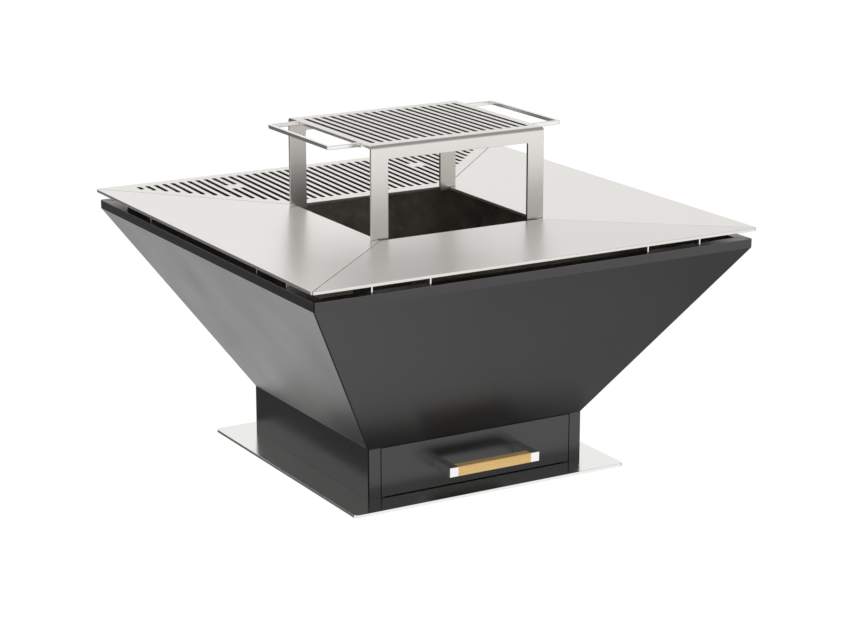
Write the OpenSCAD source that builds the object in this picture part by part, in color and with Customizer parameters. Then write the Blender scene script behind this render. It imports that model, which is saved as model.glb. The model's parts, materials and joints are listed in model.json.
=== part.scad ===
// Square plancha fire pit: an inverted pyramid bowl on a plinth with an ash drawer,
// four sloping top plates (the rear one a slotted grate) and a raised grill table.
// Origin: middle of the base plate's underside. +Z up, -Y is the drawer side.

/* [Base and plinth] */
// Side of the square base plate
base_side = 634; // [560:1:780]
// Thickness of the base plate
base_thick = 6; // [4:0.5:12]
// Corner radius of the base plate
base_radius = 10; // [4:1:30]
// Side of the square plinth box
plinth_side = 503; // [420:1:620]
// Height of the plinth box
plinth_height = 105; // [88:1:160]
// Wall of the plinth and of the bowl
wall = 3; // [2.5:0.1:5]
// Width of the flanges folded inwards at the foot and head of the plinth walls
flange = 40; // [34:1:60]
// Width of the fixed strip on each side of the drawer
post_width = 28; // [24:0.5:45]
// Width of the open groove along the outer corners of plinth and bowl
seam_width = 2.4; // [0.6:0.1:4]
// Depth of that groove, measured into the sheet
seam_depth = 2; // [0.5:0.1:2.4]

/* [Bowl] */
// Height of the sloping part of the bowl
bowl_height = 371; // [300:1:450]
// Height of the upright rim
rim_height = 18; // [15:1:40]
// Width of the ledge folded inwards at the top of the rim
ledge = 25; // [20:1:40]
// How far the top plates stand out past the rim
overhang = 7; // [2:1:30]
// Side of the square ash hole in the bowl floor
ash_hole = 300; // [240:1:340]
// Side of the loose fire grate over the ash hole
fire_grate_side = 344; // [300:1:352]
// Thickness of the fire grate
fire_grate_thick = 8; // [5:0.5:12]

/* [Top plates] */
// Outer side of the square made by the four plates
plate_side = 1000; // [830:1:1200]
// Side of the square fire opening in the middle
opening_side = 370; // [308:1:450]
// Thickness of the plates
plate_thick = 6; // [4:0.5:10]
// How much lower the inner edge of a plate is than its outer edge
plate_fall = 9; // [3:0.5:20]
// Radius of the outer corners
plate_radius = 8; // [3:1:30]
// Gap between two neighbouring plates
mitre_gap = 1.2; // [0.6:0.1:3]
// Air gap between the rim and the plates' outer edge
air_gap = 17; // [10:1:40]

/* [Slots] */
// Width of a slot
slot_width = 10; // [6:0.5:12]
// Distance from one slot to the next
slot_pitch = 19.65; // [16:0.05:28]
// Solid strip at the rear edge of the grate plate
rear_strip = 25; // [15:1:60]
// Solid strip at the inner edge of the grate plate
inner_strip = 30; // [15:1:60]
// Solid strip beside the mitre, measured front to back
mitre_strip = 37; // [30:1:80]
// Distance of the two solid weld pads from the middle of the grate plate
pad_x = 225; // [150:1:300]
// Distance of the two weld pads from the outer edge of the grate plate
pad_y = 113; // [60:1:200]
// Length of a weld pad
pad_length = 30; // [20:1:60]

/* [Brackets] */
// Width of a bracket under a plate
bracket_width = 127; // [90:1:180]
// Sheet thickness of a bracket
bracket_sheet = 3; // [2:0.5:5]
// Distance from the middle of a plate to the middle of each bracket
bracket_offset = 307; // [230:1:330]
// How far a bracket's front edge is set back from the rim's face
bracket_setback = 8; // [4:1:15]
// Length of a bracket, front to back
bracket_length = 70; // [50:1:120]
// How far the hook hangs down behind the ledge
hook_drop = 22; // [10:1:40]

/* [Grill table] */
// Height of the table top above the inner edge of the plates
table_height = 188; // [140:1:260]
// Sheet thickness of the table
table_sheet = 6; // [4:0.5:8]
// Outer bend radius of the table sheet
bend_radius = 8.5; // [8.2:0.1:14]
// Width of a leg
leg_width = 38; // [30:1:60]
// Depth of the rail above each portal opening, from the table top
rail_depth = 29; // [20:1:50]
// How far each foot stands on a side plate
foot_rest = 15; // [10:1:30]
// Gap between the table and the front and rear plates
table_gap = 7.5; // [3:0.5:20]
// How far the feet reach down inside the opening
toe_drop = 6; // [3:0.5:12]
// Solid strip beside the outermost slot
table_side_strip = 18; // [12:1:30]
// Solid strip at the front and rear of the table top
table_end_strip = 30; // [20:1:60]
// Size of the square handle bar
loop_bar = 8; // [6:0.5:12]
// How far a handle loop stands out
loop_reach = 71; // [45:1:100]
// Outer width of a handle loop
loop_width = 268; // [180:1:290]

/* [Ash drawer] */
// Gap around the drawer front
drawer_gap = 1.5; // [0.8:0.1:4]
// Sheet thickness of the tray
tray_sheet = 1.5; // [1:0.5:3]
// Height of the tray's walls
tray_height = 70; // [40:1:72]
// Thickness of the runners under the tray
runner_thick = 4; // [3:0.5:8]
// Outer length of the handle
handle_length = 210; // [140:1:300]
// Size of the square handle arms and bar
handle_bar_size = 20; // [14:1:28]
// How far the handle stands out from the drawer front
handle_reach = 70; // [45:1:90]

/* [Fasteners] */
// Diameter of the screws through the base plate and the bowl floor
bolt_d = 8; // [6:1:10]
// Diameter of the handle screws
handle_screw_d = 6; // [5:1:8]

/* [Clearances] */
// Gap between loose pieces that lie in or beside each other
loose = 1; // [0.5:0.1:3]
// Radial gap between a fastener and its hole
bolt_clear = 0.1; // [0.05:0.05:0.5]

/* [Hidden] */
$fn = 64;

// levels
plinth_top = base_thick + plinth_height;
knee = plinth_top + bowl_height;
rim_top = knee + rim_height;
plate_top = rim_top + air_gap + plate_thick;

// half sizes
plinth_half = plinth_side / 2;
plate_half = plate_side / 2;
opening_half = opening_side / 2;
rim_half = plate_half - overhang;

// half of the corner groove, measured along a wall
seam_cut = seam_width / 2 * sqrt(2);

// bowl slope
floor_gap = 0.4;
bowl_lean = (rim_half - plinth_half) / bowl_height;
wall_across = wall * sqrt(1 + bowl_lean * bowl_lean);
knee_inside = plinth_top + (rim_half - wall - plinth_half + wall_across) / bowl_lean;

// plate slope
plate_run = plate_half - opening_half;
fall_angle = atan(plate_fall / plate_run);
plate_length = plate_run / cos(fall_angle);
mitre_inset = mitre_gap / 2 * sqrt(2);
shortest_slot = 1.4 * slot_width;

// fire grate
grate_bar = 10;
grate_gap = 12;
grate_border = 22;
grate_spine = 14;
grate_radius = 12;

// table
table_half_x = opening_half + foot_rest;
table_half_y = opening_half - table_gap;
sit = 0.1;
foot_level = plate_top - plate_fall + foot_rest * tan(fall_angle) + sit;
table_top = plate_top - plate_fall + table_height;
toe_half = opening_half - loose;
window_half = table_half_x - leg_width;
window_radius = 3;
loop_inner_radius = 1.5;

// drawer
post_inner = plinth_half - post_width;
post_return = 18;
runner_start = 20;
guide_height = 12;
guide_thick = 2;
front_half = post_inner - drawer_gap;
front_bottom = base_thick + drawer_gap;
front_top = plinth_top - drawer_gap;
front_back = -plinth_half + wall;
runner_top = base_thick + wall + runner_thick;
tray_half = post_inner - wall;
tray_back = plinth_half - flange - loose;
runner_length = tray_back - front_back - runner_start;
runner_width = tray_half + loose - (plinth_half - flange);
handle_z = base_thick + plinth_height / 2;
handle_half = handle_length / 2;
arm_x = handle_half - handle_bar_size / 2;
handle_front = -plinth_half - handle_reach;
bar_y = handle_front + handle_bar_size / 2;
bar_edge = 1.5;
rod_d = 6;
rod_depth = 8;
screw_depth = 18;
screw_head_d = 1.8 * handle_screw_d;
screw_head_height = 4;

// fasteners
nut_height = 0.8 * bolt_d;
nut_across = 1.63 * bolt_d;
head_height = 0.65 * bolt_d;
head_sink = 0.2;
screw_line = plinth_half - wall - flange * 0.35;
screw_spread = plinth_half * 0.55;
base_screw_places = [for (s = [-1, 1], t = [-1, 1]) [s * screw_line, t * screw_spread],
    for (s = [-1, 1]) [s * screw_spread, screw_line]];
floor_bolt_places = [for (s = [-1, 1], t = [-1, 1]) [s * screw_line, t * screw_spread]];

// ---- shared shapes ----

// flat square plate with round corners, standing on z = 0
module rounded_slab(width, depth, height, radius) {
    linear_extrude(height) {
        square([width - 2 * radius, depth], center = true);
        square([width, depth - 2 * radius], center = true);
        for (s = [-1, 1], t = [-1, 1])
            translate([s * (width / 2 - radius), t * (depth / 2 - radius)]) circle(radius);
    }
}

// upright slot with round ends along y, from y0 to y1
module slot(x, y0, y1, width, depth) {
    r = width / 2;
    translate([x - r, y0 + r, 0]) cube([width, y1 - y0 - width, depth]);
    for (y = [y0 + r, y1 - r]) translate([x, y, 0]) cylinder(r = r, h = depth);
}

// places a shape made for the front on the side: 0 front, 1 right, 2 rear, 3 left
module on_side(side) {
    rotate([0, 0, 90 * side]) children();
}

module hex_nut(z) {
    translate([0, 0, z]) difference() {
        cylinder(d = nut_across * 2 / sqrt(3), h = nut_height, $fn = 6);
        translate([0, 0, -1]) cylinder(d = bolt_d + 2 * bolt_clear, h = nut_height + 2);
    }
}

// ---- base and plinth ----

module base_plate() {
    color("gainsboro") difference() {
        rounded_slab(base_side, base_side, base_thick, base_radius);
        for (p = base_screw_places) translate([p[0], p[1], 0]) {
            translate([0, 0, -1]) cylinder(d = bolt_d + 2 * bolt_clear, h = base_thick + 2);
            translate([0, 0, -0.01]) cylinder(d1 = 2 * bolt_d + 2 * bolt_clear, d2 = bolt_d + 2 * bolt_clear,
                h = bolt_d / 2);
        }
    }
}

module base_screws() {
    color("silver") for (p = base_screw_places) translate([p[0], p[1], 0]) {
        translate([0, 0, head_sink])
            cylinder(d1 = 2 * (bolt_d - head_sink), d2 = bolt_d, h = bolt_d / 2 - head_sink);
        translate([0, 0, bolt_d / 2])
            cylinder(d = bolt_d, h = base_thick + wall + nut_height + 1 - bolt_d / 2);
    }
}

module base_nuts() {
    color("silver") for (p = base_screw_places) translate([p[0], p[1], 0]) hex_nut(base_thick + wall);
}

// upright wall on the right, mitred at both ends, with an open groove along each outer corner
module mitred_wall() {
    half = plinth_half;
    deep = half - seam_depth;
    translate([0, 0, base_thick]) linear_extrude(plinth_height)
        polygon([[half - wall, -half + wall], [deep, -deep], [deep, -deep + seam_cut],
            [half, -half + seam_cut],
            [half, half - seam_cut], [deep, deep - seam_cut], [deep, deep], [half - wall, half - wall]]);
}

// wall on the right, with a flange folded inwards at the foot and at the head
module plinth_side_wall() {
    difference() {
        union() {
            mitred_wall();
            for (z = [base_thick, plinth_top - wall])
                translate([plinth_half - flange, -plinth_half + wall, z])
                    cube([flange - wall, plinth_side - 2 * wall, wall]);
        }
        for (p = [for (q = concat(base_screw_places, floor_bolt_places)) if (q[0] == screw_line) q])
            translate([p[0], p[1], base_thick - 1])
                cylinder(d = bolt_d + 2 * bolt_clear, h = plinth_height + 2);
    }
}

module plinth_right() {
    color("dimgray") plinth_side_wall();
}

module plinth_left() {
    color("dimgray") mirror([1, 0, 0]) plinth_side_wall();
}

module plinth_back() {
    inside = plinth_half - flange;
    color("dimgray") difference() {
        union() {
            rotate([0, 0, 90]) mitred_wall();
            for (z = [base_thick, plinth_top - wall])
                translate([-inside, plinth_half - flange, z]) cube([2 * inside, flange - wall, wall]);
        }
        for (s = [-1, 1]) translate([s * screw_spread, screw_line, base_thick - 1])
            cylinder(d = bolt_d + 2 * bolt_clear, h = wall + 2);
    }
}

// strip beside the drawer, with a return folded backwards along the drawer's side
module front_post() {
    intersection() {
        rotate([0, 0, -90]) mitred_wall();
        translate([post_inner, -plinth_half, base_thick]) cube([post_width, wall, plinth_height]);
    }
    translate([post_inner, -plinth_half + wall, base_thick + wall])
        cube([wall, post_return, plinth_height - 2 * wall]);
}

module front_post_right() {
    color("dimgray") front_post();
}

module front_post_left() {
    color("dimgray") mirror([1, 0, 0]) front_post();
}

// angle that ties the two sides together above the drawer
module front_rail() {
    inside = plinth_half - flange;
    color("dimgray") {
        translate([-inside, front_back + loose, plinth_top - wall]) cube([2 * inside, flange - wall, wall]);
        translate([-inside, front_back + loose, plinth_top - 4 * wall]) cube([2 * inside, wall, 3 * wall]);
    }
}

// flat strip under the tray, lying on the side wall's foot flange
module runner() {
    color("silver") translate([plinth_half - flange, front_back + runner_start, base_thick + wall])
        cube([runner_width, runner_length, runner_thick]);
}

// upright strip beside it that guides the tray
module runner_guide() {
    color("silver")
        translate([plinth_half - flange + runner_width, front_back + runner_start, base_thick + wall])
            cube([guide_thick, runner_length, runner_thick + guide_height]);
}

// ---- bowl ----

// section of one bent sheet: sloping panel, upright rim and ledge
module bowl_section() {
    outline = [[plinth_half, plinth_top], [rim_half, knee], [rim_half, rim_top],
        [rim_half - ledge, rim_top], [rim_half - ledge, rim_top - wall],
        [rim_half - wall, rim_top - wall], [rim_half - wall, knee_inside],
        [plinth_half - wall_across, plinth_top]];
    polygon([for (p = outline) [-p[0], p[1]]]);
}

// the space inside the groove's depth, in the same section
module bowl_core() {
    across = seam_depth * wall_across / wall;
    polygon([[0, plinth_top], [-plinth_half + across, plinth_top], [-rim_half + seam_depth, knee],
        [-rim_half + seam_depth, rim_top - seam_depth], [0, rim_top - seam_depth]]);
}

// keeps what lies between the two mitre planes, cut back from them
module between_mitres(back) {
    intersection() {
        translate([-plate_half, 0, 0]) rotate([90, 0, 90]) linear_extrude(plate_side) children();
        linear_extrude(rim_top + 1)
            polygon([[0, -back], [-plate_side, -plate_side - back], [plate_side, -plate_side - back]]);
    }
}

// one bent sheet, mitred on both sides, with an open groove along its outer corners
module bowl_sheet() {
    between_mitres(seam_cut) bowl_section();
    between_mitres(0) intersection() {
        bowl_section();
        bowl_core();
    }
}

module bowl_panel(side) {
    color("dimgray") on_side(side) bowl_sheet();
}

module bowl_floor() {
    half = plinth_half - wall_across - floor_gap;
    color("dimgray") difference() {
        translate([-half, -half, plinth_top]) cube([2 * half, 2 * half, wall]);
        translate([-ash_hole / 2, -ash_hole / 2, plinth_top - 1]) cube([ash_hole, ash_hole, wall + 2]);
        for (p = floor_bolt_places) translate([p[0], p[1], plinth_top - 1])
            cylinder(d = bolt_d + 2 * bolt_clear, h = wall + 2);
    }
}

module floor_bolts() {
    color("silver") for (p = floor_bolt_places) translate([p[0], p[1], 0]) {
        translate([0, 0, plinth_top + wall]) cylinder(d = nut_across * 2 / sqrt(3), h = head_height, $fn = 6);
        translate([0, 0, plinth_top - wall - nut_height - 1])
            cylinder(d = bolt_d, h = 2 * wall + nut_height + 1);
    }
}

module floor_nuts() {
    color("silver") for (p = floor_bolt_places) translate([p[0], p[1], 0])
        hex_nut(plinth_top - wall - nut_height);
}

// loose cast grate with two rows of slots
module fire_grate() {
    reach = fire_grate_side / 2 - grate_border;
    count = floor(reach / (grate_bar + grate_gap));
    half_slot = (reach - grate_spine) / 2;
    color("darkslategray") translate([0, 0, plinth_top + wall]) difference() {
        rounded_slab(fire_grate_side, fire_grate_side, fire_grate_thick, grate_radius);
        for (k = [-count : count], t = [-1, 1])
            translate([0, t * (grate_spine + half_slot), -1])
                slot(k * (grate_bar + grate_gap), -half_slot, half_slot, grate_gap, fire_grate_thick + 2);
    }
}

// ---- top plates ----

// flat blank of one plate in its sloping place at the front
module plate_place() {
    translate([0, -plate_half, plate_top]) rotate([-fall_angle, 0, 0])
        translate([0, 0, -plate_thick]) children();
}

module plate_blank() {
    intersection() {
        plate_place() linear_extrude(plate_thick)
            polygon([[-plate_half + mitre_inset, 0], [plate_half - mitre_inset, 0],
                [opening_half - mitre_inset, plate_length], [-opening_half + mitre_inset, plate_length]]);
        rounded_slab(plate_side, plate_side, 2 * plate_top, plate_radius);
    }
}

module top_plate(side) {
    color("gainsboro") on_side(side) plate_blank();
}

// slots from the outer strip to the inner strip or the mitre; a weld pad splits the ones it meets
module grate_slots() {
    count = floor((plate_half - rear_strip - mitre_strip - shortest_slot) / slot_pitch);
    pad = [pad_y - pad_length / 2, pad_y + pad_length / 2];
    for (k = [-count : count]) {
        x = k * slot_pitch;
        y0 = rear_strip;
        y1 = min(plate_length - inner_strip, (plate_half - abs(x) - mitre_strip) / cos(fall_angle));
        if (abs(abs(x) - pad_x) < slot_pitch && y1 > pad[1] + shortest_slot) {
            slot(x, y0, pad[0], slot_width, plate_thick + 2);
            slot(x, pad[1], y1, slot_width, plate_thick + 2);
        } else {
            slot(x, y0, y1, slot_width, plate_thick + 2);
        }
    }
}

module grate_rear() {
    color("gainsboro") on_side(2) difference() {
        plate_blank();
        plate_place() translate([0, 0, -1]) grate_slots();
    }
}

// strap bent to a U in plan, on edge under a plate: it stands on the ledge and hooks behind it
module bracket_shape() {
    front = -rim_half + bracket_setback;
    rear = front + bracket_length;
    hook = -rim_half + ledge + loose;
    function under(y) = plate_top - (y + plate_half) * tan(fall_angle) - plate_thick / cos(fall_angle);
    arm = [[front, rim_top], [hook, rim_top], [hook, rim_top - hook_drop], [rear, rim_top - hook_drop],
        [rear, under(rear)], [front, under(front)]];
    web = [[rear - bracket_sheet, rim_top - hook_drop], [rear, rim_top - hook_drop],
        [rear, under(rear)], [rear - bracket_sheet, under(rear - bracket_sheet)]];
    for (x = [-bracket_width / 2, bracket_width / 2 - bracket_sheet])
        translate([x, 0, 0]) rotate([90, 0, 90]) linear_extrude(bracket_sheet) polygon(arm);
    translate([-bracket_width / 2, 0, 0]) rotate([90, 0, 90]) linear_extrude(bracket_width) polygon(web);
}

module bracket(side, hand) {
    color("silver") on_side(side) translate([hand * bracket_offset, 0, 0]) bracket_shape();
}

// ---- grill table ----

// section of the bent sheet, seen along x
module table_section() {
    half = table_half_y;
    low = foot_level - sit - toe_drop - foot_rest * tan(fall_angle);
    difference() {
        union() {
            translate([-half, low]) square([2 * half, table_top - bend_radius - low]);
            translate([-half + bend_radius, low]) square([2 * (half - bend_radius), table_top - low]);
            for (s = [-1, 1]) translate([s * (half - bend_radius), table_top - bend_radius])
                circle(bend_radius);
        }
        inner = bend_radius - table_sheet;
        translate([-half + table_sheet, low - 1])
            square([2 * (half - table_sheet), table_top - bend_radius - low + 1]);
        translate([-half + bend_radius, low - 1])
            square([2 * (half - bend_radius), table_top - table_sheet - low + 1]);
        for (s = [-1, 1]) translate([s * (half - bend_radius), table_top - bend_radius]) circle(inner);
    }
}

module grill_table() {
    half = table_half_x;
    window_top = table_top - rail_depth;
    count = floor((half - table_side_strip - slot_width / 2) / slot_pitch);
    color("lightgray") difference() {
        translate([-half, 0, 0]) rotate([90, 0, 90]) linear_extrude(2 * half) table_section();
        translate([-window_half, -plate_half, 0])
            cube([2 * window_half, plate_side, window_top - window_radius]);
        translate([-window_half + window_radius, -plate_half, 0])
            cube([2 * (window_half - window_radius), plate_side, window_top]);
        for (s = [-1, 1])
            translate([s * (window_half - window_radius), plate_half, window_top - window_radius])
            rotate([90, 0, 0]) cylinder(r = window_radius, h = plate_side);
        for (s = [-1, 1]) translate([s > 0 ? toe_half : -half - 1, -plate_half, 0])
            cube([half + 1 - toe_half, plate_side, foot_level]);
        for (k = [-count : count]) translate([0, 0, table_top - table_sheet - 1])
            slot(k * slot_pitch, -table_half_y + table_end_strip, table_half_y - table_end_strip,
                slot_width, table_sheet + 2);
    }
}

// square bar bent into a loop, flush with the table top
module handle_loop() {
    outer_r = loop_inner_radius + loop_bar;
    inner_r = loop_inner_radius;
    reach = loop_reach;
    inner_w = loop_width - 2 * loop_bar;
    translate([table_half_x, 0, table_top - loop_bar]) linear_extrude(loop_bar) difference() {
        union() {
            translate([0, -loop_width / 2]) square([reach - outer_r, loop_width]);
            translate([0, -loop_width / 2 + outer_r]) square([reach, loop_width - 2 * outer_r]);
            for (s = [-1, 1]) translate([reach - outer_r, s * (loop_width / 2 - outer_r)]) circle(outer_r);
        }
        translate([-1, -inner_w / 2]) square([reach - loop_bar - inner_r + 1, inner_w]);
        translate([-1, -inner_w / 2 + inner_r]) square([reach - loop_bar + 1, inner_w - 2 * inner_r]);
        for (s = [-1, 1]) translate([reach - loop_bar - inner_r, s * (inner_w / 2 - inner_r)])
            circle(inner_r);
    }
}

module table_handle_right() {
    color("lightgray") handle_loop();
}

module table_handle_left() {
    color("lightgray") mirror([1, 0, 0]) handle_loop();
}

// ---- ash drawer ----

// the tray is welded from five flat sheets: a floor, two sides, a front and a back between them
module drawer_tray_floor() {
    color("dimgray") translate([-tray_half, front_back, runner_top])
        cube([2 * tray_half, tray_back - front_back, tray_sheet]);
}

module drawer_tray_side() {
    color("dimgray") translate([tray_half - tray_sheet, front_back, runner_top + tray_sheet])
        cube([tray_sheet, tray_back - front_back, tray_height - tray_sheet]);
}

// sheet across the tray between its sides, with its front face at y
module tray_cross_sheet(y) {
    inside = tray_half - tray_sheet;
    translate([-inside, y, runner_top + tray_sheet])
        cube([2 * inside, tray_sheet, tray_height - tray_sheet]);
}

module drawer_tray_front() {
    color("dimgray") difference() {
        tray_cross_sheet(front_back);
        handle_screw_holes();
    }
}

module drawer_tray_back() {
    color("dimgray") tray_cross_sheet(tray_back - tray_sheet);
}

module handle_screw_holes() {
    for (s = [-1, 1]) translate([s * arm_x, front_back + 10, handle_z]) rotate([90, 0, 0])
        cylinder(d = handle_screw_d + 2 * bolt_clear, h = 20 + wall);
}

module drawer_front() {
    color("dimgray") difference() {
        translate([-front_half, -plinth_half, front_bottom])
            cube([2 * front_half, wall, front_top - front_bottom]);
        handle_screw_holes();
    }
}

// square arm, tapped at the back for its screw and bored on its inner side for the rod
module handle_arm() {
    size = handle_bar_size;
    difference() {
        translate([arm_x - size / 2, handle_front, handle_z - size / 2]) cube([size, handle_reach, size]);
        translate([arm_x, -plinth_half + 1, handle_z]) rotate([90, 0, 0])
            cylinder(d = handle_screw_d + 2 * bolt_clear, h = screw_depth + 2);
        translate([arm_x - size / 2 - 1, bar_y, handle_z]) rotate([0, 90, 0])
            cylinder(d = rod_d + 2 * bolt_clear, h = rod_depth + 1 + loose);
    }
}

module handle_arm_right() {
    color("gainsboro") handle_arm();
}

module handle_arm_left() {
    color("gainsboro") mirror([1, 0, 0]) handle_arm();
}

module handle_bar() {
    half = arm_x - handle_bar_size / 2;
    size = handle_bar_size;
    color("burlywood") difference() {
        translate([-half, bar_y, handle_z]) rotate([0, 90, 0]) linear_extrude(2 * half)
            difference() {
                square(size, center = true);
                for (s = [-1, 1], t = [-1, 1])
                    translate([s * (size / 2 - bar_edge), t * (size / 2 - bar_edge)])
                    difference() {
                        translate([s > 0 ? 0 : -2 * bar_edge, t > 0 ? 0 : -2 * bar_edge])
                            square(2 * bar_edge);
                        circle(bar_edge);
                    }
            }
        translate([-half - 1, bar_y, handle_z]) rotate([0, 90, 0])
            cylinder(d = rod_d + 2 * bolt_clear, h = 2 * half + 2);
    }
}

// threaded rod that holds the wooden bar between the arms
module handle_rod() {
    half = arm_x - handle_bar_size / 2 + rod_depth;
    color("silver") translate([-half, bar_y, handle_z]) rotate([0, 90, 0]) cylinder(d = rod_d, h = 2 * half);
}

// screws with their heads inside the tray
module handle_screws() {
    inside = front_back + tray_sheet;
    color("silver") for (s = [-1, 1]) translate([s * arm_x, inside, handle_z]) rotate([90, 0, 0]) {
        translate([0, 0, -screw_head_height]) cylinder(d = screw_head_d, h = screw_head_height, $fn = 6);
        cylinder(d = handle_screw_d, h = tray_sheet + wall + screw_depth);
    }
}

base_plate();
base_screws();
base_nuts();
plinth_left();
plinth_right();
plinth_back();
front_post_left();
front_post_right();
front_rail();
mirror([1, 0, 0]) runner();  // runner_left
runner();  // runner_right
mirror([1, 0, 0]) runner_guide();  // runner_guide_left
runner_guide();  // runner_guide_right
bowl_panel(0);  // bowl_front
bowl_panel(1);  // bowl_right
bowl_panel(2);  // bowl_back
bowl_panel(3);  // bowl_left
bowl_floor();
floor_bolts();
floor_nuts();
fire_grate();
top_plate(0);  // plate_front
top_plate(1);  // plate_right
top_plate(3);  // plate_left
grate_rear();
bracket(0, -1);  // bracket_front_1
bracket(0, 1);  // bracket_front_2
bracket(1, -1);  // bracket_right_1
bracket(1, 1);  // bracket_right_2
bracket(2, -1);  // bracket_rear_1
bracket(2, 1);  // bracket_rear_2
bracket(3, -1);  // bracket_left_1
bracket(3, 1);  // bracket_left_2
grill_table();
table_handle_left();
table_handle_right();
drawer_tray_floor();
mirror([1, 0, 0]) drawer_tray_side();  // drawer_tray_left
drawer_tray_side();  // drawer_tray_right
drawer_tray_front();
drawer_tray_back();
drawer_front();
handle_arm_left();
handle_arm_right();
handle_bar();
handle_rod();
handle_screws();
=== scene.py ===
# %% [markdown]
# # A fire pit with cooking plates
# The fire pit is a black steel bowl on a plinth, with four loose stainless plates round the fire
# and a small grill table over it. The CAD model gives every piece its true place and size. This
# lesson gives each piece soft edges, its small made details, its finish and its light.

# %% Load the CAD frame
import json
from math import cos, radians, sin

import bpy
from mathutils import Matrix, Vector


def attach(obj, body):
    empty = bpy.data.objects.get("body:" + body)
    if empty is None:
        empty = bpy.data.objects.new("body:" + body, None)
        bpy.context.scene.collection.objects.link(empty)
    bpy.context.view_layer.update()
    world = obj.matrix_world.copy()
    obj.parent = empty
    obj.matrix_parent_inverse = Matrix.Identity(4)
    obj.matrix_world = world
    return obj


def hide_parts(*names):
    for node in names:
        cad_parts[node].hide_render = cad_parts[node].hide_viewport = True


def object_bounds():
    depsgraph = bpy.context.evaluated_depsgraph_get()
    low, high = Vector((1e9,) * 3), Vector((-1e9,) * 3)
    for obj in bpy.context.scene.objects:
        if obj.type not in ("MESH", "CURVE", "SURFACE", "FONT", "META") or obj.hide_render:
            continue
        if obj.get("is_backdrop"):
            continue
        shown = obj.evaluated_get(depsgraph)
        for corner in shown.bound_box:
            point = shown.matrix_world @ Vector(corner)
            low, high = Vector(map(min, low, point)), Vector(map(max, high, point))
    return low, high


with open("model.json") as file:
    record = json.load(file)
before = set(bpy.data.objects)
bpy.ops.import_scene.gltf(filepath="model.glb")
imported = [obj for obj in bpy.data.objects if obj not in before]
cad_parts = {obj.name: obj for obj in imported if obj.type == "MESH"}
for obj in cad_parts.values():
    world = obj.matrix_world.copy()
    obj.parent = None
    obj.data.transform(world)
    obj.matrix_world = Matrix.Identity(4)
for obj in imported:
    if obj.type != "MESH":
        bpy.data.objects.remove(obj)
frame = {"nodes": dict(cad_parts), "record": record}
cad_low, cad_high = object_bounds()
nodes = frame["nodes"]
body_of = {n: body for body, names in frame["record"]["behaviour"]["bodies"].items() for n in names}
MM = 0.001
print("CAD frame:", len(nodes), "nodes, size", [round(v, 3) for v in cad_high - cad_low])

# %% [markdown]
# ## Small helpers
# Colours are written as hex codes, as a paint chart gives them, and one function turns them into
# the linear values that Blender computes with. A second function adds one shader node with its
# settings and links, so a material reads as a list of nodes. An operator acts on everything that
# is selected, so a third one selects a single object and nothing else.

# %% Helpers
def linear(code):
    """A hex colour such as 'e1ded9' as linear RGBA."""
    parts = [int(code[i:i + 2], 16) / 255 for i in (0, 2, 4)]
    return [c / 12.92 if c < 0.04045 else ((c + 0.055) / 1.055) ** 2.4 for c in parts] + [1.0]


def add(tree, kind, inputs=None, **settings):
    """Adds one shader node. An input is a value, or a socket that is linked to it."""
    made = tree.nodes.new(kind)
    for key, value in settings.items():
        setattr(made, key, value)
    for key, value in (inputs or {}).items():
        if isinstance(value, bpy.types.NodeSocket):
            tree.links.new(value, made.inputs[key])
        else:
            made.inputs[key].default_value = value
    return made


def new_material(name):
    """A material with an empty node tree."""
    made = bpy.data.materials.new(name)
    made.use_nodes = True
    made.node_tree.nodes.clear()
    return made, made.node_tree


def show(tree, shader):
    """Links a shader's first output to the material's surface."""
    add(tree, "ShaderNodeOutputMaterial", {"Surface": shader.outputs[0]})


def only(piece):
    """Selects one object and makes it the active one."""
    bpy.ops.object.select_all(action="DESELECT")
    piece.select_set(True)
    bpy.context.view_layer.objects.active = piece


print("helpers ready")

# %% [markdown]
# ## The camera
# The camera stands five metres off, to the left of the drawer side and a little above the
# plates, with a long lens, so that the edges hardly converge. It turns round the point that it
# looks at, so its place follows from two angles and a distance.

# %% Camera
AZIMUTH, ELEVATION, ROLL = radians(-30.06), radians(15.44), radians(0.04)
DISTANCE = 4.988
LENS_MM = 101.53
look_at = Vector((0.0166, -0.0041, 0.2883))
away = Vector((sin(AZIMUTH) * cos(ELEVATION), -cos(AZIMUTH) * cos(ELEVATION), sin(ELEVATION)))
lens = bpy.data.cameras.new("product_camera")
lens.lens = LENS_MM
lens.sensor_width = 36
camera = bpy.data.objects.new("product_camera", lens)
camera.location = look_at + away * DISTANCE
camera.rotation_euler = (radians(90) - ELEVATION, ROLL, AZIMUTH)
bpy.context.scene.collection.objects.link(camera)
bpy.context.scene.camera = camera
bpy.context.scene.view_settings.view_transform = "Standard"
print("camera at", [round(v, 3) for v in camera.location])

# %% [markdown]
# ## Light and floor
# Bare steel shows its surroundings, so the studio matters more here than the lamps. It is a white
# room with soft areas that are darker or brighter, each one a direction with a fading border, as
# dark cards hung round a shiny object would be. The large grey one overhead draws the grey line
# along the bend of the grill table and shades its legs. It stays well above black, because the
# plates reflect it to anyone who looks from above. One low at the left darkens the edges
# that look left, one below at the right gives the bowl its fading sheen. The white floor closes
# the picture for the camera, and the surfaces see the studio instead of it.

# %% Studio
FLOOR_SIDE = 80
WHITE = 1.06
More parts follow.
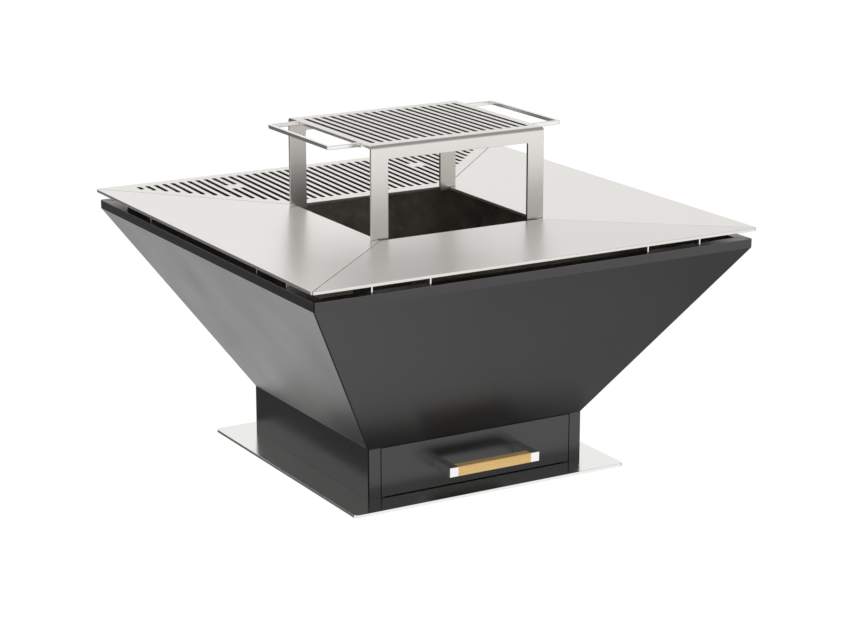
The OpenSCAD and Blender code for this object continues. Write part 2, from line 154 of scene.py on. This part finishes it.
# direction of each area, its level, and the cosines where it is full and where it ends
AREAS = {
    "overhead": ((0.48, -0.15, 0.86), 0.35, 0.84, 0.42),
    "low at the left": ((-0.62, 0.76, -0.20), 0.14, 0.94, 0.74),
    "below at the right": ((0.80, 0.0, -0.60), 0.16, 0.98, 0.84),
    "low in front": ((0.48, -0.83, -0.28), 1.08, 0.95, 0.75),
}
world = bpy.data.worlds.new("white_studio")
world.use_nodes = True
sky = world.node_tree
sky.nodes.clear()
facing = add(sky, "ShaderNodeTexCoord").outputs["Generated"]
level = add(sky, "ShaderNodeValue")
level.outputs[0].default_value = WHITE
level = level.outputs[0]
for centre, amount, full, end in AREAS.values():
    towards = Vector(centre).normalized()
    close = add(sky, "ShaderNodeVectorMath", {0: facing, 1: towards}, operation="DOT_PRODUCT")
    factor = add(sky, "ShaderNodeMapRange", {
        "Value": close.outputs["Value"], "From Min": end, "From Max": full, "To Min": 1.0, "To Max": amount},
        interpolation_type="SMOOTHSTEP").outputs["Result"]
    level = add(sky, "ShaderNodeMath", {0: level, 1: factor}, operation="MULTIPLY").outputs[0]
wall = add(sky, "ShaderNodeBackground", {"Color": linear("ffffff"), "Strength": level})
add(sky, "ShaderNodeOutputWorld", {"Surface": wall.outputs[0]})
bpy.context.scene.world = world

bpy.ops.object.select_all(action="DESELECT")
bpy.ops.mesh.primitive_plane_add(size=FLOOR_SIDE, location=(0, 0, cad_low.z - 0.5 * MM))
floor = bpy.context.object
floor.name = "studio_floor"
light_table, tree = new_material("white_light_table")
show(tree, add(tree, "ShaderNodeEmission", {"Color": linear("ffffff"), "Strength": 1.02}))
floor.data.materials.append(light_table)
floor.visible_diffuse = False
floor.visible_glossy = False
floor.visible_transmission = False
floor.visible_shadow = False
floor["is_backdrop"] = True

lamp = bpy.data.lights.new("front_softbox", "AREA")
lamp.size = 1.6
lamp.energy = 12
softbox = bpy.data.objects.new("front_softbox", lamp)
softbox.location = (-0.6, -3.6, 2.6)
softbox.rotation_euler = (softbox.location - Vector((0, 0, 0.4))).to_track_quat("Z", "Y").to_euler()
bpy.context.scene.collection.objects.link(softbox)
print("studio ready,", len(AREAS), "soft areas")

# %% [markdown]
# ## Soft edges on cut sheet
# No edge of sheet metal is perfectly sharp: it is deburred after cutting, and the small round
# edge catches a thin line of light. The CAD solids have sharp edges. Each one is copied, its
# loose triangles are merged into whole faces, and a bevel modifier rounds the edges. A weighted
# normal modifier keeps the large faces flat. The copy then stands for the CAD node and rides on
# the same body. The radius of each kind of piece is in millimetres.

# %% Edge finishing
EDGE_RADIUS = {"plate_": 0.5, "grate_": 0.4, "grill_": 0.5, "table_handle_": 0.8, "bracket_": 0.3,
               "base_plate": 0.6, "base_": 0.3, "bowl_": 0.5, "plinth_": 0.4, "front_": 0.4, "floor_": 0.4,
               "drawer_front": 0.4, "drawer_tray": 0.25, "handle_arm": 0.8, "handle_bar": 0.4,
               "handle_rod": 0.3, "handle_screws": 0.3, "fire_grate": 1.2, "runner_": 0.3}


def deburred(node, radius):
    """A copy of a CAD node with its edges rounded."""
    mesh = nodes[node].data.copy()
    mesh.materials.clear()
    piece = bpy.data.objects.new(node + "_finished", mesh)
    bpy.context.scene.collection.objects.link(piece)
    only(piece)
    bpy.ops.object.mode_set(mode="EDIT")
    bpy.ops.mesh.select_all(action="SELECT")
    bpy.ops.mesh.remove_doubles(threshold=0.01 * MM)
    bpy.ops.mesh.dissolve_limited(angle_limit=radians(0.3))
    bpy.ops.object.mode_set(mode="OBJECT")
    rounding = piece.modifiers.new("rounding", "BEVEL")
    rounding.width = radius
    rounding.segments = 2
    rounding.limit_method = "ANGLE"
    rounding.angle_limit = radians(25)
    rounding.use_clamp_overlap = False
    bpy.ops.object.modifier_apply(modifier=rounding.name)
    bpy.ops.object.shade_smooth()
    flat = piece.modifiers.new("flat faces", "WEIGHTED_NORMAL")
    flat.weight = 100
    bpy.ops.object.modifier_apply(modifier=flat.name)
    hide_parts(node)
    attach(piece, body_of[node])
    return piece


finished = {}
for node in sorted(nodes):
    kind = next(start for start in EDGE_RADIUS if node.startswith(start))
    finished[node] = deburred(node, EDGE_RADIUS[kind] * MM)
print("rounded", len(finished), "pieces,", sum(len(p.data.polygons) for p in finished.values()), "faces")

# %% [markdown]
# ## Ground stainless steel
# Stainless sheet is ground with a belt, which leaves fine straight lines along the sheet. They
# are a tenth of a millimetre apart, too fine to see from five metres, so they are drawn about a
# millimetre apart and faint. Across the lines the noise changes fast, along them slowly: the
# Mapping node stretches the pattern. The lines change the roughness and a very shallow relief,
# and a wide cloud of noise keeps the colour from being the same all over. The slots are cut with
# a laser after grinding, and their walls get a dull dark colour: partly the skin that the belt never
# reached, partly painted shade for the deep narrow slots. They are the walls that look sideways,
# well inside the sheet. Ground steel looks lighter or darker by the way its lines run. The shader
# here doesn't work that out, so the front plate, whose lines run across the view, has a slightly
# darker tone painted into its colour than the side plates: painted shade.

# %% Stainless steel
LINE_SPACING = 1.0 * MM
LINE_LENGTH = 120 * MM
# colour of the slot walls: partly laser skin, partly painted shade in the narrow slots
LASER_SKIN_AND_SHADE = "69645e"
LASER_ROUGHNESS = 0.5


def stainless(name, fast_axes, dark, light, roughness, spread=0.015, slots_within=None):
    """Ground stainless; the pattern changes fast along fast_axes, so the lines run across them.

    slots_within is the half width in which the walls that look along x are laser-cut slots."""
    made, tree = new_material(name)
    place = add(tree, "ShaderNodeTexCoord").outputs["Object"]
    scale = [1 / LINE_SPACING if axis in fast_axes else 1 / LINE_LENGTH for axis in "xyz"]
    lines = add(tree, "ShaderNodeMapping", {"Vector": place, "Scale": scale}).outputs["Vector"]
    grind = add(tree, "ShaderNodeTexNoise", {"Vector": lines, "Scale": 1.0, "Detail": 2.0}).outputs["Fac"]
    cloud = add(tree, "ShaderNodeTexNoise", {"Vector": place, "Scale": 4.0, "Detail": 3.0}).outputs["Fac"]
    shade = add(tree, "ShaderNodeMix", {0: cloud, 6: linear(dark), 7: linear(light)}, data_type="RGBA")
    gloss = add(tree, "ShaderNodeMapRange", {"Value": grind, "From Min": 0.3, "From Max": 0.7,
                                             "To Min": roughness - spread, "To Max": roughness + spread})
    colour, rough = shade.outputs[2], gloss.outputs["Result"]
    if slots_within:
        across = add(tree, "ShaderNodeSeparateXYZ", {0: place}).outputs["X"]
        across = add(tree, "ShaderNodeMath", {0: across}, operation="ABSOLUTE").outputs[0]
        inner = add(tree, "ShaderNodeMath", {0: across, 1: slots_within}, operation="LESS_THAN").outputs[0]
        flat = add(tree, "ShaderNodeNewGeometry").outputs["True Normal"]
        up = add(tree, "ShaderNodeSeparateXYZ", {0: flat}).outputs["Z"]
        up = add(tree, "ShaderNodeMath", {0: up}, operation="ABSOLUTE").outputs[0]
        side = add(tree, "ShaderNodeSeparateXYZ", {0: flat}).outputs["X"]
        side = add(tree, "ShaderNodeMath", {0: side}, operation="ABSOLUTE").outputs[0]
        upright = add(tree, "ShaderNodeMath", {0: up, 1: 0.3}, operation="LESS_THAN").outputs[0]
        sideways = add(tree, "ShaderNodeMath", {0: side, 1: 0.5}, operation="GREATER_THAN").outputs[0]
        cut = add(tree, "ShaderNodeMath", {0: upright, 1: sideways}, operation="MULTIPLY").outputs[0]
        cut = add(tree, "ShaderNodeMath", {0: cut, 1: inner}, operation="MULTIPLY").outputs[0]
        # the sideways slot walls take a darker colour: partly laser skin, partly painted shade
        slot_skin_and_painted_shade = linear(LASER_SKIN_AND_SHADE)
        colour = add(tree, "ShaderNodeMix", {0: cut, 6: colour, 7: slot_skin_and_painted_shade}, data_type="RGBA").outputs[2]
        rough = add(tree, "ShaderNodeMix", {0: cut, 2: rough, 3: LASER_ROUGHNESS},
                    data_type="FLOAT").outputs[0]
    relief = add(tree, "ShaderNodeBump", {"Height": grind, "Strength": 0.03, "Distance": 0.01 * MM})
    show(tree, add(tree, "ShaderNodeBsdfPrincipled", {
        "Base Color": colour, "Metallic": 1.0, "Roughness": rough, "Normal": relief.outputs["Normal"]}))
    return made


steel = {
    # the front plate's colour is a shade darker than the side plates': painted shade for the sheen of its
    # ground lines, which run across the view
    "plate_x_painted_darker": stainless("stainless_ground_along_x_with_painted_shade", "yz", "d6d4cf", "dcdad6", 0.33),
    "plate_y": stainless("stainless_ground_along_y", "xz", "dedbd6", "e4e1dd", 0.30),
    "grate": stainless("stainless_ground_slotted", "yz", "dedbd6", "e4e1dd", 0.30, slots_within=0.498),
    "table": stainless("stainless_ground_on_bent_sheet", "x", "d9d6d1", "e0ddd9", 0.31, slots_within=0.190),
    "bar": stainless("stainless_ground_bar", "z", "e4e1de", "edebe8", 0.24),
    "base": stainless("stainless_ground_bright", "yz", "dededb", "e6e6e3", 0.18),
}
print("stainless finishes:", sorted(steel))

# %% [markdown]
# ## Stove paint, soot and painted light inside
# The bowl and plinth are sprayed with matt black stove paint and baked. It gives a soft sheen and
# a very fine grain. The same sheets face the fire on their inner side, where smoke leaves a brown
# black film that hardly shines. That film is drawn a lighter brown grey: partly soot, partly painted
# light for the light that falls in through the opening. Both sides are one piece, so one material
# holds both: the sloping faces of the bowl that look up are inside it, and the geometry's normal
# tells them apart. The corners are open joints between two sheets. Their walls stand at 45 degrees
# to both sheets. They are made dull, and their colour is darkened to nearly black: painted shade in
# the grooves.

# %% Black paint
GRAIN = 1.2 * MM
PAINT_SPECULAR = 0.72


def stove_paint(name, dark="121213", light="19191a", roughness=0.30, soot_and_painted_light=False):
    """Matt black stove paint, with soot on the faces that look up."""
    made, tree = new_material(name)
    place = add(tree, "ShaderNodeTexCoord").outputs["Object"]
    grit = add(tree, "ShaderNodeTexNoise", {"Vector": place, "Scale": 1 / GRAIN,
                                            "Detail": 3.0}).outputs["Fac"]
    cloud = add(tree, "ShaderNodeTexNoise", {"Vector": place, "Scale": 5.0, "Detail": 4.0}).outputs["Fac"]
    shade = add(tree, "ShaderNodeMix", {0: cloud, 6: linear(dark), 7: linear(light)}, data_type="RGBA")
    gloss = add(tree, "ShaderNodeMapRange", {"Value": cloud, "From Min": 0.3, "From Max": 0.7,
                                             "To Min": roughness - 0.03, "To Max": roughness + 0.03})
    colour, rough = shade.outputs[2], gloss.outputs["Result"]
    if soot_and_painted_light:
        facing = add(tree, "ShaderNodeNewGeometry").outputs["True Normal"]
        up = add(tree, "ShaderNodeSeparateXYZ", {0: facing}).outputs["Z"]
        rising = add(tree, "ShaderNodeMapRange", {"Value": up, "From Min": 0.2, "From Max": 0.3})
        sloping = add(tree, "ShaderNodeMath", {0: up, 1: 0.85}, operation="LESS_THAN").outputs[0]
        inside = add(tree, "ShaderNodeMath", {0: rising.outputs["Result"], 1: sloping},
                     operation="MULTIPLY").outputs[0]
        smoke = add(tree, "ShaderNodeTexNoise", {"Vector": place, "Scale": 9.0, "Detail": 6.0,
                                                 "Roughness": 0.65}).outputs["Fac"]
        patches = add(tree, "ShaderNodeMapRange", {"Value": smoke, "From Min": 0.35, "From Max": 0.65})
        # brown grey film on the inner sloping faces: partly soot, partly painted light, lighter than soot for
        # the light through the opening
        smoke_film_and_painted_light = add(tree, "ShaderNodeMix", {0: patches.outputs["Result"], 6: linear("5a534a"),
                                           7: linear("8f8678")}, data_type="RGBA").outputs[2]
        colour = add(tree, "ShaderNodeMix", {0: inside, 6: colour, 7: smoke_film_and_painted_light}, data_type="RGBA").outputs[2]
        rough = add(tree, "ShaderNodeMix", {0: inside, 2: rough, 3: 0.55}, data_type="FLOAT").outputs[0]
    normal = add(tree, "ShaderNodeNewGeometry").outputs["True Normal"]
    flat = add(tree, "ShaderNodeSeparateXYZ", {0: normal})
    both = add(tree, "ShaderNodeMath", {0: flat.outputs["X"], 1: flat.outputs["Y"]}, operation="MULTIPLY")
    both = add(tree, "ShaderNodeMath", {0: both.outputs[0]}, operation="ABSOLUTE").outputs[0]
    groove_painted_shade = add(tree, "ShaderNodeMath", {0: both, 1: 0.1}, operation="GREATER_THAN").outputs[0]
    # the open corner grooves: colour darkened to nearly black, painted shade in the grooves; roughness made
    # dull
    colour = add(tree, "ShaderNodeMix", {0: groove_painted_shade, 6: colour, 7: linear("060606")},
                 data_type="RGBA").outputs[2]
    rough = add(tree, "ShaderNodeMix", {0: groove_painted_shade, 2: rough, 3: 0.9}, data_type="FLOAT").outputs[0]
    relief = add(tree, "ShaderNodeBump", {"Height": grit, "Strength": 0.12, "Distance": 0.02 * MM})
    show(tree, add(tree, "ShaderNodeBsdfPrincipled", {
        "Base Color": colour, "Roughness": rough, "Specular IOR Level": PAINT_SPECULAR,
        "Normal": relief.outputs["Normal"]}))
    return made


paint = stove_paint("black_stove_paint", roughness=0.24)
bowl_paint = stove_paint("black_stove_paint_with_soot_inside", soot_and_painted_light=True)
tray_paint = stove_paint("black_tray_paint", "1c1b19", "2c2a27", 0.5)
ash_paint = stove_paint("black_paint_under_ash", "2e2a25", "4c463d", 0.6)
print("paints ready")

# %% [markdown]
# ## Cast iron and zinc
# The loose fire grate is sand cast: the sand leaves a coarse, dull, slightly brown skin with
# small pits. Screws, nuts and the drawer's runners are zinc plated, which gives a cool grey
# with faint crystal patches a few millimetres wide.

# %% Cast iron and zinc
SAND_GRAIN = 2.2 * MM
ZINC_PATCH = 5 * MM
cast_iron, tree = new_material("sand_cast_iron")
place = add(tree, "ShaderNodeTexCoord").outputs["Object"]
sand = add(tree, "ShaderNodeTexNoise", {"Vector": place, "Scale": 1 / SAND_GRAIN,
                                        "Detail": 5.0}).outputs["Fac"]
rust = add(tree, "ShaderNodeTexNoise", {"Vector": place, "Scale": 14.0, "Detail": 5.0}).outputs["Fac"]
skin = add(tree, "ShaderNodeMix", {0: rust, 6: linear("2b2928"), 7: linear("4a413a")}, data_type="RGBA")
pits = add(tree, "ShaderNodeBump", {"Height": sand, "Strength": 0.5, "Distance": 0.3 * MM})
show(tree, add(tree, "ShaderNodeBsdfPrincipled", {
    "Base Color": skin.outputs[2], "Metallic": 0.6, "Roughness": 0.62, "Normal": pits.outputs["Normal"]}))

zinc, tree = new_material("zinc_plated_steel")
place = add(tree, "ShaderNodeTexCoord").outputs["Object"]
patch = add(tree, "ShaderNodeTexVoronoi", {"Vector": place, "Scale": 1 / ZINC_PATCH}).outputs["Color"]
tone = add(tree, "ShaderNodeMix", {0: patch, 6: linear("b9bcc0"), 7: linear("d2d4d6")}, data_type="RGBA")
dull = add(tree, "ShaderNodeMapRange", {"Value": patch, "To Min": 0.30, "To Max": 0.42})
show(tree, add(tree, "ShaderNodeBsdfPrincipled", {
    "Base Color": tone.outputs[2], "Metallic": 1.0, "Roughness": dull.outputs["Result"]}))
print("cast iron and zinc ready")

# %% [markdown]
# ## Oiled hardwood
# The bar of the drawer handle is a pale hardwood with straight grain along its length and an
# oiled, silky surface. It is glued up from short staves, so its tone changes every few
# centimetres. The growth rings make wide soft bands, the fibres thin streaks, and short dark
# pores lie along the grain.

# %% Wood
RING_WIDTH = 5 * MM
FIBRE_WIDTH = 0.8 * MM
PORE_WIDTH = 0.5 * MM
STAVE_LENGTH = 48 * MM
GRAIN_STRETCH = 25
wood, tree = new_material("oiled_pale_hardwood")
place = add(tree, "ShaderNodeTexCoord").outputs["Object"]


def along_grain(width, seed):
    """Noise that is stretched along the bar, with bands about as wide as width."""
    scale = [1 / (width * GRAIN_STRETCH), 1 / width, 1 / width]
    moved = add(tree, "ShaderNodeMapping", {"Vector": place, "Location": (seed, seed, seed), "Scale": scale})
    return add(tree, "ShaderNodeTexNoise", {"Vector": moved.outputs["Vector"], "Scale": 1.0, "Detail": 3.0,
                                            "Distortion": 0.4}).outputs["Fac"]


rings = along_grain(RING_WIDTH, 1.0)
fibres = along_grain(FIBRE_WIDTH, 2.0)
pores = along_grain(PORE_WIDTH, 3.0)
band = add(tree, "ShaderNodeMapRange", {"Value": rings, "From Min": 0.38, "From Max": 0.62}).outputs["Result"]
base = add(tree, "ShaderNodeMix", {0: band, 6: linear("d3af67"), 7: linear("e3c682")}, data_type="RGBA")
cells = add(tree, "ShaderNodeMapping", {"Vector": place, "Scale": (1 / STAVE_LENGTH, 45, 70)})
stave = add(tree, "ShaderNodeTexVoronoi", {"Vector": cells.outputs["Vector"], "Scale": 1.0},
            distance="CHEBYCHEV").outputs["Color"]
tone = add(tree, "ShaderNodeMapRange", {"Value": stave, "To Max": 0.75}).outputs["Result"]
base = add(tree, "ShaderNodeMix", {0: tone, 6: base.outputs[2], 7: linear("e4be7e")}, data_type="RGBA")
streak = add(tree, "ShaderNodeMapRange", {"Value": fibres, "From Min": 0.35, "From Max": 0.7,
                                          "To Max": 0.45}).outputs["Result"]
fibred = add(tree, "ShaderNodeMix", {0: streak, 6: base.outputs[2], 7: linear("ba8a47")}, data_type="RGBA")
dash = add(tree, "ShaderNodeMapRange", {"Value": pores, "From Min": 0.66, "From Max": 0.72,
                                        "To Max": 0.6}).outputs["Result"]
timber = add(tree, "ShaderNodeMix", {0: dash, 6: fibred.outputs[2], 7: linear("8a5a2b")}, data_type="RGBA")
groove = add(tree, "ShaderNodeBump", {"Height": fibres, "Strength": 0.2, "Distance": 0.1 * MM})
show(tree, add(tree, "ShaderNodeBsdfPrincipled", {
    "Base Color": timber.outputs[2], "Roughness": 0.48, "Normal": groove.outputs["Normal"]}))
print("wood ready")

# %% [markdown]
# ## Weld beads
# The two handle loops are welded under the edge of the table, at both ends of each. A weld bead
# is a row of overlapping drops, each one a ripple that froze behind the arc. A row of icospheres
# gives that scale pattern, and a remesh modifier melts the row into one closed skin, with nothing
# left inside. Each bead is a piece of its own and rides on the body that it is welded to.

# %% Weld beads
WELD_RADIUS = 1.6 * MM
WELD_STEP = 1.5 * MM
WELD_SKIN = 0.3 * MM  # grid on which the drops melt together


def weld_bead(name, start, end, body):
    """A row of overlapping drops from start to end."""
    start, end = Vector(start), Vector(end)
    count = max(2, round((end - start).length / WELD_STEP))
    drops = []
    bpy.ops.object.select_all(action="DESELECT")
    for k in range(count + 1):
        bpy.ops.mesh.primitive_ico_sphere_add(subdivisions=2, radius=WELD_RADIUS,
                                              location=start.lerp(end, k / count))
        drops.append(bpy.context.object)
    for drop in drops:
        drop.select_set(True)
    bpy.context.view_layer.objects.active = drops[0]
    bpy.ops.object.join()
    bead = bpy.context.object
    bead.name = name
    bpy.ops.object.transform_apply(location=True, rotation=True, scale=True)
    melt = bead.modifiers.new("melt", "REMESH")
    melt.mode = "VOXEL"
    melt.voxel_size = WELD_SKIN
    bpy.ops.object.modifier_apply(modifier=melt.name)
    bpy.ops.object.shade_smooth()
    bead.data.materials.append(weld_metal)
    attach(bead, body)
    return bead


# as-welded stainless: dull grey with straw and brown heat tint
weld_metal, tree = new_material("stainless_weld_with_heat_tint")
place = add(tree, "ShaderNodeTexCoord").outputs["Object"]
heat = add(tree, "ShaderNodeTexNoise", {"Vector": place, "Scale": 160.0, "Detail": 2.0}).outputs["Fac"]
tint = add(tree, "ShaderNodeMix", {0: heat, 6: linear("b9b2a6"), 7: linear("cfcac2")}, data_type="RGBA")
show(tree, add(tree, "ShaderNodeBsdfPrincipled", {
    "Base Color": tint.outputs[2], "Metallic": 1.0, "Roughness": 0.38}))


def box_of(node):
    """The corners of a CAD node's box."""
    points = [nodes[node].matrix_world @ v.co for v in nodes[node].data.vertices]
    return (Vector([min(p[i] for p in points) for i in range(3)]),
            Vector([max(p[i] for p in points) for i in range(3)]))


table_low, table_high = box_of("grill_table")
beads = 0
for node, side in (("table_handle_left", -1), ("table_handle_right", 1)):
    low, high = box_of(node)
    edge = table_high.x if side > 0 else table_low.x
    bar = high.z - low.z
    for y, name in ((low.y + bar / 2, "front"), (high.y - bar / 2, "rear")):
        weld_bead("weld_%s_%s" % (node, name), (edge, y - bar / 2, low.z), (edge, y + bar / 2, low.z),
                  body_of[node])
        beads += 1
print("weld beads:", beads)

# %% [markdown]
# ## A finish for every piece
# The pieces are sheet steel, bar, casting, wood and zinc-plated fasteners, and a piece's name says
# which. The finish could be set piece by piece, but a table from the start of a name to a finish is
# shorter and shows at a glance what is made of what. The first match counts, and the empty name at
# the end takes all the fasteners and runners.

# %% Give every piece its finish
FINISH = {"plate_left": steel["plate_y"], "plate_right": steel["plate_y"], "plate_": steel["plate_x_painted_darker"],
          "grate_rear": steel["grate"], "grill_table": steel["table"], "table_handle": steel["bar"],
          "bracket_": steel["bar"], "handle_arm": steel["bar"], "base_plate": steel["base"],
          "bowl_floor": ash_paint, "bowl_": bowl_paint, "plinth_": paint, "front_": paint,
          "drawer_front": paint, "drawer_tray": tray_paint, "handle_bar": wood,
          "fire_grate": cast_iron, "": zinc}
for node, piece in finished.items():
    kind = next(start for start in FINISH if node.startswith(start))
    piece.data.materials.append(FINISH[kind])
print("finishes given to", len(finished), "pieces")

# %% [markdown]
# ## The size, and the end
# Rounded edges only take material away, so the finished object should be exactly as large as the
# CAD model. Both boxes are written down, so that they can be compared.

# %% Write the two boxes, and finish
low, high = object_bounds()
print("visual size", [round(v, 3) for v in high - low])
